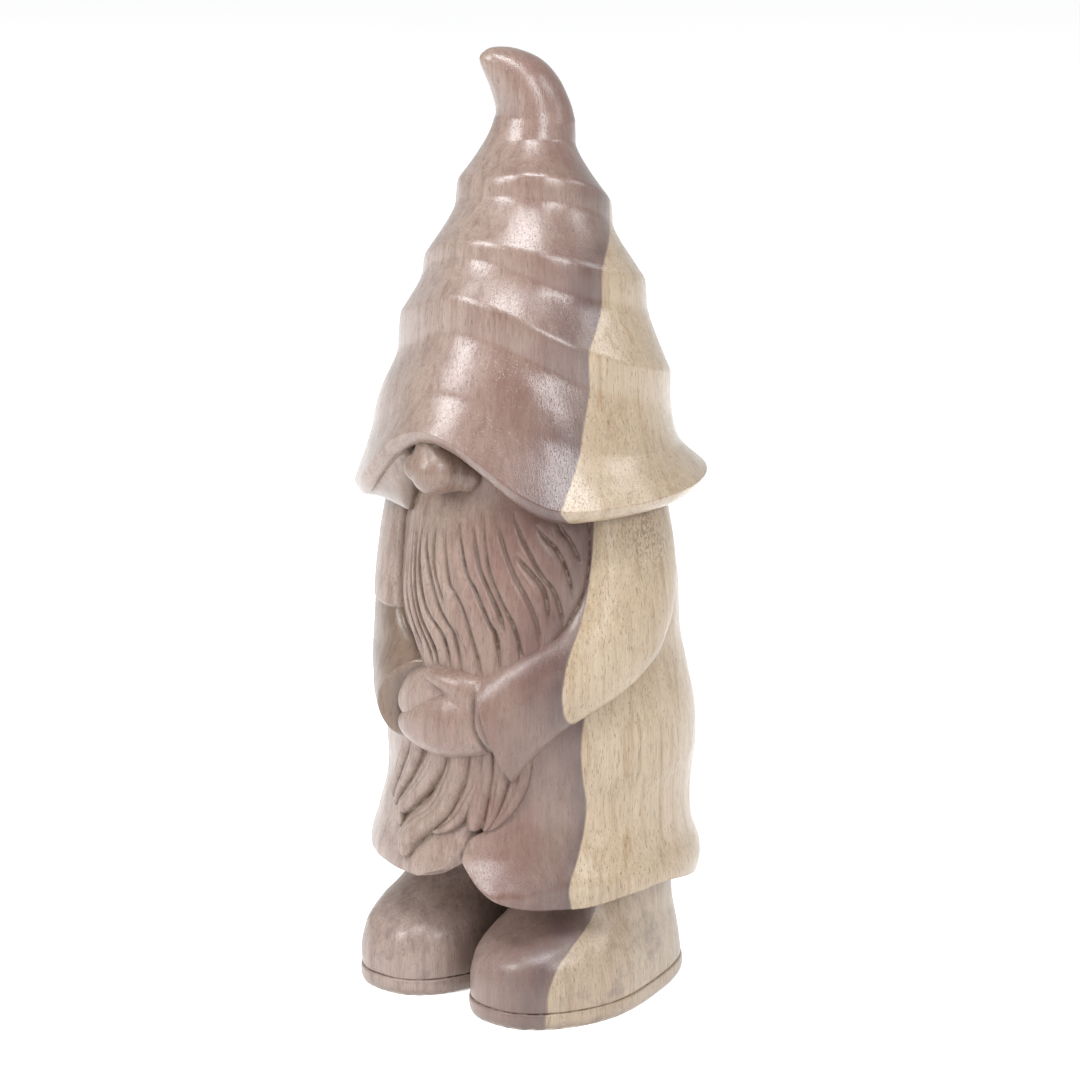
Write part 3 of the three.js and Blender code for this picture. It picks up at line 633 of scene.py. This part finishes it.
def make_reliefs():
    made = {}
    grid, hollow = relief(
        UPPER_BEARD, rows=260, columns=280, fullness=2.5, root=5, carve=carve_beard, marks=0.1, seed=11
    )
    # Painted shade on the top of the beard, under the nose and the brim.
    stain = 0.3 * smoothstep(grid[..., 2], 118, 138)
    made["upper_beard"] = skin("upper_beard_carved", grid, stain=stain, hollow=hollow)
    sleeve = {"columns": 120, "root": 5, "marks": 0.16}
    left = {"rows": 170, "fullness": 2.3, "skew": 0.2, "cuff": (-0.5, 2.5), "seed": 13}
    grid, hollow = relief(LEFT_SLEEVE, carve=carve_left_sleeve, **sleeve, **left)
    # Painted shade in the cuff's bevel, deeper towards the hand.
    hollow[-CUFF_STEPS:] = np.linspace(0.4, 1.3, CUFF_STEPS)[:, None]
    made["left_sleeve"] = skin("left_sleeve_carved", grid, hollow=hollow)
    right = {"rows": 190, "fullness": 2.7, "skew": 0.1, "cuff": (6.5, 3.2), "seed": 17}
    grid, hollow = relief(RIGHT_SLEEVE, carve=carve_right_sleeve, **sleeve, **right)
    # Below the ledge and towards the front: darker wood on the forearm, with painted shade on it.
    stain = 1 - smoothstep(grid[..., 2], RIGHT_LEDGE_Z - 0.3, RIGHT_LEDGE_Z + 0.2)
    stain *= smoothstep(grid[..., 1], 4, -22)
    # Painted shade in the cuff's bevel, deeper towards the hand.
    hollow[-CUFF_STEPS:] = np.linspace(0.3, 1.3, CUFF_STEPS)[:, None]
    made["right_sleeve"] = skin("right_sleeve_carved", grid, stain=stain, hollow=hollow)
    for i, lock in enumerate(LOCKS, 1):
        hairs = [[(a + shift, z) for a, z in lock[0]] for shift in (-1.9, 1.3)]

        def carve_lock(angle, z):
            return sum(groove_cut(angle, z, hair, 0.3, 0.55, 0.3, 0.45) for hair in hairs)

        shape = {"fullness": 1.9, "skew": 0.5, "root": 2.5, "marks": 0.08, "seed": 20 + i}
        grid, hollow = relief(lock_stations(*lock), rows=96, columns=60, carve=carve_lock, **shape)
        made[f"beard_lock_{i}"] = skin(f"beard_lock_{i}_carved", grid, hollow=hollow)
    return made


# ---------- nose and hands ----------

NOSE_TURN = 40  # the nose's lobes are laid out facing half to the figure's left


def centre_of(node):
    low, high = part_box(node)
    return np.array((low + high) / 2) / MM


def make_nose():
    # Balls as (across, back, up, radius): the nose itself, its bridge, and its two wings.
    lobes = [
        (-1.5, 2.5, 0.4, 6.4),
        (-1.9, -2.0, -0.9, 6.2),
        (-2.6, -0.6, 3.6, 4.2),
        (1.2, 0.2, 2.4, 4.8),
        (-6.9, -0.8, 0.0, 2.9),
        (3.6, -0.2, -1.6, 4.9),
        (6.5, 0.2, -2.8, 3.9),
    ]
    grid = blob(centre_of("nose"), lobes, 0.9, turn=NOSE_TURN)
    grid += grid_normals(grid) * knife_marks(grid, 0.12, 31)[..., None]
    return skin("nose_carved", grid, stain=0 * grid[..., 0] + 0.3)


# Bones of the hands, as (angle, z, half width, height) points.
LEFT_FINGERS = [
    (-9.8, 77.4, 4.0, 6.2),
    (-5.0, 77.8, 6.2, 7.2),
    (3.5, 79.0, 8.9, 8.0),
    (11, 81.2, 10.2, 7.9),
    (20, 82.8, 9.8, 6.6),
]
LEFT_THUMB = [(0.6, 92.2, 2.7, 7.6), (6, 91.6, 3.2, 8.2), (12, 90.6, 4.2, 8.0), (20, 89.0, 5.0, 7.0)]
RIGHT_FINGERS = [(-9.0, 83.2, 5.4, 6.6), (-5.0, 86.8, 5.9, 7.0), (3.0, 89.3, 4.8, 7.0)]


def carve_left_hand(angle, z):
    """A sharp seam where the hand goes into its cuff."""
    seam = [(17.9, 97), (17.8, 88), (18, 81), (21.5, 74.5), (25, 68)]
    return groove_cut(angle, z, seam, 0.3, 1.3, soft=0.2)


def make_hands():
    made = {}
    fingers = [LEFT_FINGERS, LEFT_THUMB]
    grid, hollow = swelling((8, 82), fingers, 2.6, carve=carve_left_hand, seed=37)
    made["left_hand"] = skin("left_hand_carved", grid, hollow=hollow)
    grid, hollow = swelling((-3, 86), [RIGHT_FINGERS], 2.6, seed=41)
    made["right_hand"] = skin("right_hand_carved", grid, hollow=hollow)
    return made


# ---------- boots ----------

BOOT_HALF_WIDTH = 19.1
BOOT_SPLAY = 3.4  # how far the left boot's outer side turns out at the front
SOLE_HEIGHT = 4.7
BOOT_TOP_Z = 44
# Height, change of half width, and where the toe and the heel end along y.
BOOT_ROWS = [
    (0, -0.6, -37.9, 31.6),
    (1.2, -0.1, -38.5, 32.2),
    (SOLE_HEIGHT, 0, -38.8, 32.3),
    (9, 0, -39.0, 31.6),
    (13.5, -0.4, -38.0, 30.8),
    (17.5, -1.2, -36, 30),
    (20.5, -2.0, -32, 29.4),
    (23, -2.6, -26.6, 29),
    (26, -3.0, -21, 28.6),
    (30, -3.4, -17.4, 28.2),
    (36, -3.8, -15.6, 27.8),
    (BOOT_TOP_Z, -4, -15, 27.4),
]


def boot_grid(side, levels, inset, seed, columns=200):
    """Sections of a boot. Each level is (z, how far that section is drawn in)."""
    turn = np.linspace(0, 2 * math.pi, columns, endpoint=False)[None, :]
    z, drawn_in = np.moveaxis(np.array(levels, float), -1, 0)[..., None]
    widen, toe, heel = np.moveaxis(smooth_table(BOOT_ROWS, z), -1, 0)
    half = BOOT_HALF_WIDTH - 0.15 + widen - inset - drawn_in
    along = -signed_power(np.cos(turn), 0.8)
    reach = (heel - toe) / 2 - inset - drawn_in
    narrow = 1 - 0.07 * np.maximum(0, along)
    x = side * BOOT_HALF_WIDTH + signed_power(np.sin(turn), 0.8) * half * narrow
    y = (toe + heel) / 2 + along * reach
    splay = BOOT_SPLAY * np.exp(-(((y + 14) / 20) ** 2)) * (side > 0)
    x = x * (1 + splay / (2 * BOOT_HALF_WIDTH))
    grid = np.stack([x, y, z + 0 * x], -1)
    marks = knife_marks(grid, 0.14, seed) * smoothstep(z, 0.5, 3)
    return grid + grid_normals(grid) * marks[..., None]


def make_boots():
    made = {}
    for side, name in ((1, "left"), (-1, "right")):
        rise = [(SOLE_HEIGHT - 0.2, 0.6), (SOLE_HEIGHT, 0.2), (SOLE_HEIGHT + 0.35, 0.03)]
        rise += [(z, 0) for z in np.linspace(SOLE_HEIGHT + 0.8, BOOT_TOP_Z, 90)]
        made[f"{name}_boot"] = skin(f"{name}_boot_carved", boot_grid(side, rise, 0.3, 43 + side))
        tread = [(0, 0.35), (0.25, 0.1), (0.7, 0)]
        tread += [(z, 0) for z in np.linspace(1.2, SOLE_HEIGHT - 0.9, 12)]
        tread += [(SOLE_HEIGHT - 0.5, 0.04), (SOLE_HEIGHT - 0.25, 0.2), (SOLE_HEIGHT - 0.12, 0.9)]
        made[f"{name}_sole"] = skin(f"{name}_sole_carved", boot_grid(side, tread, 0, 43 + side))
    return made


# ---------- wood ----------

PITH = (-17 * MM, -26 * MM)  # the tree's centre, an upright line through the block
HEARTWOOD_RADIUS = 52.6 * MM
SHOULDER_MOULD = (42 * MM, -2 * MM, 129 * MM)


class Nodes:
    """Short calls that add shader nodes and link what they are given."""

    def __init__(self, material):
        self.tree = material.node_tree
        self.links = self.tree.links

    def add(self, kind, inputs=None, **settings):
        node = self.tree.nodes.new(kind)
        for key, value in settings.items():
            setattr(node, key, value)
        for key, value in (inputs or {}).items():
            if isinstance(value, bpy.types.NodeSocket):
                self.links.new(value, node.inputs[key])
            else:
                node.inputs[key].default_value = value
        return node

    def math(self, operation, a, b=0.0, c=0.0):
        node = self.add("ShaderNodeMath", {0: a, 1: b, 2: c}, operation=operation)
        return node.outputs[0]

    def ramp(self, value, stops):
        node = self.add("ShaderNodeValToRGB", {"Fac": value})
        elements = node.color_ramp.elements
        while len(elements) < len(stops):
            elements.new(0.5)
        for element, (position, colour) in zip(elements, stops):
            element.position = position
            element.color = (*colour, 1) if len(colour) == 3 else colour
        return node.outputs[0]

    def mix(self, factor, a, b, blend="MIX"):
        node = self.add("ShaderNodeMix", data_type="RGBA", blend_type=blend)
        for key, value in ((0, factor), (6, a), (7, b)):
            if isinstance(value, bpy.types.NodeSocket):
                self.links.new(value, node.inputs[key])
            else:
                node.inputs[key].default_value = value
        return node.outputs[2]

    def noise(self, vector, scale, detail=2.0, roughness=0.5, stretch=None):
        if stretch is not None:
            mapped = self.add("ShaderNodeMapping", {"Vector": vector, "Scale": stretch})
            vector = mapped.outputs[0]
        settings = {"Vector": vector, "Scale": scale, "Detail": detail, "Roughness": roughness}
        return self.add("ShaderNodeTexNoise", settings).outputs["Fac"]


def linear(r, g, b):
    """A colour given as display values above 10, up to 255."""
    return tuple(((c / 255 + 0.055) / 1.055) ** 2.4 for c in (r, g, b))


def grey(value):
    return (value, value, value)


def grown_colour(n, place):
    """Heartwood and sapwood across the rings, with patches, streaks along the grain and a speckle."""
    xyz = n.add("ShaderNodeSeparateXYZ", {0: place})
    wobble = n.noise(place, 18, 2, 0.5, (1, 1, 0.35))
    x = n.math("SUBTRACT", xyz.outputs[0], PITH[0])
    y = n.math("SUBTRACT", xyz.outputs[1], PITH[1])
    radius = n.math("SQRT", n.math("ADD", n.math("MULTIPLY", x, x), n.math("MULTIPLY", y, y)))
    radius = n.math("MULTIPLY_ADD", n.math("SUBTRACT", wobble, 0.5), 0.006, radius)

    # The heartwood narrows a little up the hat and again in the boots.
    high = n.math("MAXIMUM", n.math("SUBTRACT", xyz.outputs[2], 0.125), 0.0)
    low = n.math("MAXIMUM", n.math("SUBTRACT", 0.034, xyz.outputs[2]), 0.0)
    taper = n.math("ADD", n.math("MULTIPLY", high, 0.026), n.math("MULTIPLY", low, 0.05))
    share = n.math("DIVIDE", n.math("ADD", radius, taper), HEARTWOOD_RADIUS)
    heart = n.ramp(
        share,
        [
            (0.0, linear(147, 130, 120)),
            (0.35, linear(139, 120, 109)),
            (0.62, linear(119, 94, 85)),
            (0.8, linear(98, 70, 63)),
            (0.93, linear(74, 51, 48)),
            (0.985, linear(66, 46, 45)),
        ],
    )
    patches = n.noise(place, 60, 3, 0.6, (1, 1, 0.45))
    streaks = n.noise(place, 1, 4, 0.62, (420, 420, 14))
    paler = n.ramp(patches, [(0.38, grey(0)), (0.68, grey(0.45))])
    heart = n.mix(paler, heart, (*linear(138, 121, 108), 1))
    darker = n.ramp(streaks, [(0.45, grey(0)), (0.68, grey(0.5))])
    heart = n.mix(darker, heart, (*linear(96, 68, 59), 1))
    sap = n.mix(patches, (*linear(163, 148, 127), 1), (*linear(139, 119, 93), 1))
    darker = n.ramp(streaks, [(0.5, grey(0)), (0.72, grey(0.7))])
    sap = n.mix(darker, sap, (*linear(124, 100, 70), 1))
    colour = n.mix(n.ramp(share, [(0.994, grey(0)), (1.003, grey(1))]), heart, sap)

    fine = n.noise(place, 1, 2, 0.6, (1500, 1500, 70))
    speckle = n.noise(place, 2600, 1, 0.5)
    lightness = n.math("MULTIPLY_ADD", fine, 0.55, 0.575)
    lightness = n.math("MULTIPLY_ADD", speckle, 0.3, lightness)
    shade = n.add("ShaderNodeCombineColor", {0: lightness, 1: lightness, 2: lightness})
    return n.mix(1.0, colour, shade.outputs[0], "MULTIPLY")


def with_pores(n, place, colour):
    """Short dark dashes along the grain, and a few longer ones. Also gives back the short ones' mask."""
    pores = n.noise(place, 1, 0, 0.5, (3600, 3600, 420))
    pore_mask = n.ramp(pores, [(0.66, grey(0)), (0.76, grey(1))])
    colour = n.mix(n.math("MULTIPLY", pore_mask, 0.5), colour, (*linear(82, 60, 50), 1))
    dashes = n.noise(place, 1, 0, 0.5, (1500, 1500, 160))
    dash_mask = n.ramp(dashes, [(0.76, grey(0)), (0.82, grey(1))])
    return n.mix(n.math("MULTIPLY", dash_mask, 0.45), colour, (*linear(88, 62, 46), 1)), pore_mask


def with_wear_and_shade(n, place, colour, corner_shade, grime):
    """Grime and scuffs; painted shade under the brim and on top of the beard, darker wood and painted
    shade on the right forearm, and a darker nose; painted shade in hollows and corners; and crumbs
    of pale wax in tight creases."""
    colour = n.mix(grime, colour, (*linear(114, 105, 101), 1))
    scuffs = n.ramp(n.noise(place, 120, 4, 0.65), [(0.52, grey(0)), (0.66, grey(1))])
    colour = n.mix(n.math("MULTIPLY", scuffs, 2.5 * grime), colour, (*linear(88, 72, 72), 1))
    # Painted shade under the brim and on top of the beard; darker wood with painted shade on the right
    # forearm; a darker tone on the nose.
    stain = n.add("ShaderNodeAttribute", attribute_name="stain").outputs["Fac"]
    colour = n.mix(stain, colour, (0.56, 0.49, 0.40, 1), "MULTIPLY")
    # Painted shade in grooves, in the cuffs and up inside the hat, by the depth each mesh gives.
    hollow = n.add("ShaderNodeAttribute", attribute_name="hollow").outputs["Fac"]
    deep = n.ramp(n.math("MULTIPLY", hollow, 0.6), [(0.33, grey(0)), (0.95, grey(0.9))])
    colour = n.mix(deep, colour, (*linear(84, 64, 54), 1))
    # Painted shade in corners, from how closely the surface is hemmed in; each finish sets how much.
    corner = n.add("ShaderNodeAmbientOcclusion", {"Distance": 0.005}, samples=8).outputs["AO"]
    dim = n.ramp(corner, [(0.2, grey(0.9)), (0.8, grey(0))])
    colour = n.mix(n.math("MULTIPLY", dim, corner_shade), colour, (*linear(84, 64, 54), 1))
    crease = n.add("ShaderNodeAmbientOcclusion", {"Distance": 0.0013}, samples=6).outputs["AO"]
    wax = n.ramp(crease, [(0.35, grey(1)), (0.62, grey(0))])
    clumps = n.ramp(n.noise(place, 420, 2, 0.6), [(0.44, grey(0)), (0.58, grey(0.75))])
    return n.mix(n.math("MULTIPLY", wax, clumps), colour, (*linear(176, 166, 150), 1))


def with_mould(n, place, colour):
    """Dark specks under the brim, on the figure's left shoulder."""
    offset = n.add("ShaderNodeVectorMath", {0: place, 1: SHOULDER_MOULD}, operation="SUBTRACT")
    spread = n.add("ShaderNodeVectorMath", {0: offset.outputs[0]}, operation="LENGTH").outputs["Value"]
    near = n.ramp(n.math("MULTIPLY", spread, 40), [(0.12, grey(0.85)), (0.5, grey(0))])
    specks = n.ramp(n.noise(place, 1, 3, 0.75, (1300, 1300, 900)), [(0.5, grey(0)), (0.6, grey(0.8))])
    return n.mix(n.math("MULTIPLY", near, specks), colour, (*linear(78, 68, 58), 1))


def wood(name, gloss=0.5, corner_shade=0.5, grime=0.0):
    """Raintree wood cut from one block: brown heartwood round the pith, pale sapwood outside it."""
    material = bpy.data.materials.new(name)
    material.use_nodes = True
    material.node_tree.nodes.clear()
    n = Nodes(material)
    place = n.add("ShaderNodeTexCoord").outputs["Object"]
    colour, pore_mask = with_pores(n, place, grown_colour(n, place))
    colour = with_wear_and_shade(n, place, colour, corner_shade, grime)
    colour = with_mould(n, place, colour)

    sand = n.noise(place, 3400, 2, 0.6)
    grain = n.noise(place, 1, 3, 0.6, (1300, 1300, 60))
    height = n.math("MULTIPLY_ADD", grain, 0.5, n.math("MULTIPLY", sand, 0.45))
    height = n.math("SUBTRACT", height, n.math("MULTIPLY", pore_mask, 0.5))
    bump = n.add("ShaderNodeBump", {"Strength": 0.4, "Distance": 0.0002, "Height": height})
    rub = n.noise(place, 90, 3, 0.6)
    finish = {
        "Base Color": colour,
        "Roughness": n.math("MULTIPLY_ADD", rub, 0.2, 0.44 - 0.18 * gloss),
        "Normal": bump.outputs[0],
        "Specular IOR Level": 0.35,
        "Coat Weight": gloss,
        "Coat Roughness": 0.25,
        "Coat Normal": bump.outputs[0],
    }
    shader = n.add("ShaderNodeBsdfPrincipled", finish)
    output = n.add("ShaderNodeOutputMaterial")
    n.links.new(shader.outputs[0], output.inputs[0])
    return material


# ---------- putting it together ----------

pieces = {"hat": make_hat(), "coat": make_coat(), "nose": make_nose()}
pieces.update(make_reliefs())
pieces.update(make_hands())
pieces.update(make_boots())

# The third setting of each finish is how much painted shade darkens its corners.
polished = wood("polished_wood", gloss=1.0, corner_shade=0.5)
waxed = wood("waxed_wood", gloss=0.6, corner_shade=0.8)
plain = wood("plain_wood", gloss=0.3, corner_shade=0.9)
scuffed = wood("scuffed_wood", gloss=0.5, corner_shade=0.6, grime=0.18)
finish_of = {"hat": polished, "upper_beard": plain, "nose": waxed}
finish_of.update({f"{side}_{part}": scuffed for side in ("left", "right") for part in ("boot", "sole")})
for node, piece in pieces.items():
    is_lock = node.startswith("beard_lock")
    piece.data.materials.append(plain if is_lock else finish_of.get(node, waxed))
    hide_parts(node)
    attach(piece, "root")


# ---------- floor, lights and camera ----------

CAMERA_AZIMUTH = math.radians(40)  # from the front, round to the figure's left
CAMERA_ELEVATION = math.radians(14.8)
CAMERA_DISTANCE = 1.1
CAMERA_AIM_Z = 0.1197
CAMERA_SHIFT = 0.0025  # how far to the right of the figure's axis the camera aims
FIGURE_MIDDLE = Vector((0, 0, 0.12))


def away_from_figure(azimuth, elevation):
    """The direction out from the figure at an azimuth and elevation in radians."""
    level = math.cos(elevation)
    return Vector((math.sin(azimuth) * level, -math.cos(azimuth) * level, math.sin(elevation)))


def make_floor():
    mesh = bpy.data.meshes.new("floor")
    mesh.from_pydata([(-6, -6, 0), (6, -6, 0), (6, 6, 0), (-6, 6, 0)], [], [(0, 1, 2, 3)])
    floor = bpy.data.objects.new("floor", mesh)
    bpy.context.scene.collection.objects.link(floor)
    material = bpy.data.materials.new("pale_floor")
    material.use_nodes = True
    n = Nodes(material)
    shader = material.node_tree.nodes["Principled BSDF"]
    place = n.add("ShaderNodeTexCoord").outputs["Object"]
    tone = n.ramp(n.noise(place, 3, 2), [(0.3, grey(0.86)), (0.7, grey(0.88))])
    n.links.new(tone, shader.inputs["Base Color"])
    shader.inputs["Roughness"].default_value = 0.9
    shader.inputs["Specular IOR Level"].default_value = 0.1
    shader.inputs["Emission Color"].default_value = (1, 1, 1, 1)
    shader.inputs["Emission Strength"].default_value = 0.5
    mesh.materials.append(material)


def soft_box(name, azimuth, elevation, distance, width, height, power):
    """A rectangular studio light that faces the figure's middle from an azimuth and elevation."""
    away = away_from_figure(math.radians(azimuth), math.radians(elevation))
    light = bpy.data.lights.new(name, "AREA")
    light.shape = "RECTANGLE"
    light.size, light.size_y = width, height
    light.energy = power
    light.color = (0.97, 0.98, 1.0)
    holder = bpy.data.objects.new(name, light)
    holder.location = away * distance + FIGURE_MIDDLE
    holder.rotation_mode = "QUATERNION"
    holder.rotation_quaternion = away.to_track_quat("Z", "Y")
    bpy.context.scene.collection.objects.link(holder)


def make_studio():
    world = bpy.data.worlds.new("studio")
    world.use_nodes = True
    background = world.node_tree.nodes["Background"]
    background.inputs["Color"].default_value = (1, 1, 1, 1)
    n = Nodes(world)
    direction = n.add("ShaderNodeTexCoord").outputs["Generated"]
    from_camera = -away_from_figure(CAMERA_AZIMUTH, 0)
    behind = n.add("ShaderNodeVectorMath", {0: direction, 1: from_camera}, operation="DOT_PRODUCT")
    strength = n.math("MULTIPLY_ADD", behind.outputs["Value"], 0.28, 0.4)
    n.links.new(strength, background.inputs["Strength"])
    bpy.context.scene.world = world
    bpy.context.scene.view_settings.view_transform = "Standard"
    soft_box("left_box", -18, 32, 1.4, 0.5, 0.7, 15)
    soft_box("right_box", 70, 28, 1.4, 0.32, 0.7, 10)
    soft_box("top_box", 35, 64, 1.5, 0.7, 0.45, 16)
    soft_box("back_box", 118, 30, 1.5, 0.6, 0.4, 5)


def make_camera():
    """Three-quarter view from the figure's left, a little above level."""
    back = away_from_figure(CAMERA_AZIMUTH, CAMERA_ELEVATION)
    right = Vector((math.cos(CAMERA_AZIMUTH), math.sin(CAMERA_AZIMUTH), 0))
    up = back.cross(right)
    target = Vector((0, 0, CAMERA_AIM_Z)) + CAMERA_SHIFT * right
    data = bpy.data.cameras.new("camera")
    data.sensor_width = 36
    data.lens = 139.5
    camera = bpy.data.objects.new("camera", data)
    turn = Matrix((right, up, back)).transposed().to_4x4()
    camera.matrix_world = Matrix.Translation(target + CAMERA_DISTANCE * back) @ turn
    bpy.context.scene.collection.objects.link(camera)
    bpy.context.scene.camera = camera


make_floor()
make_studio()
make_camera()
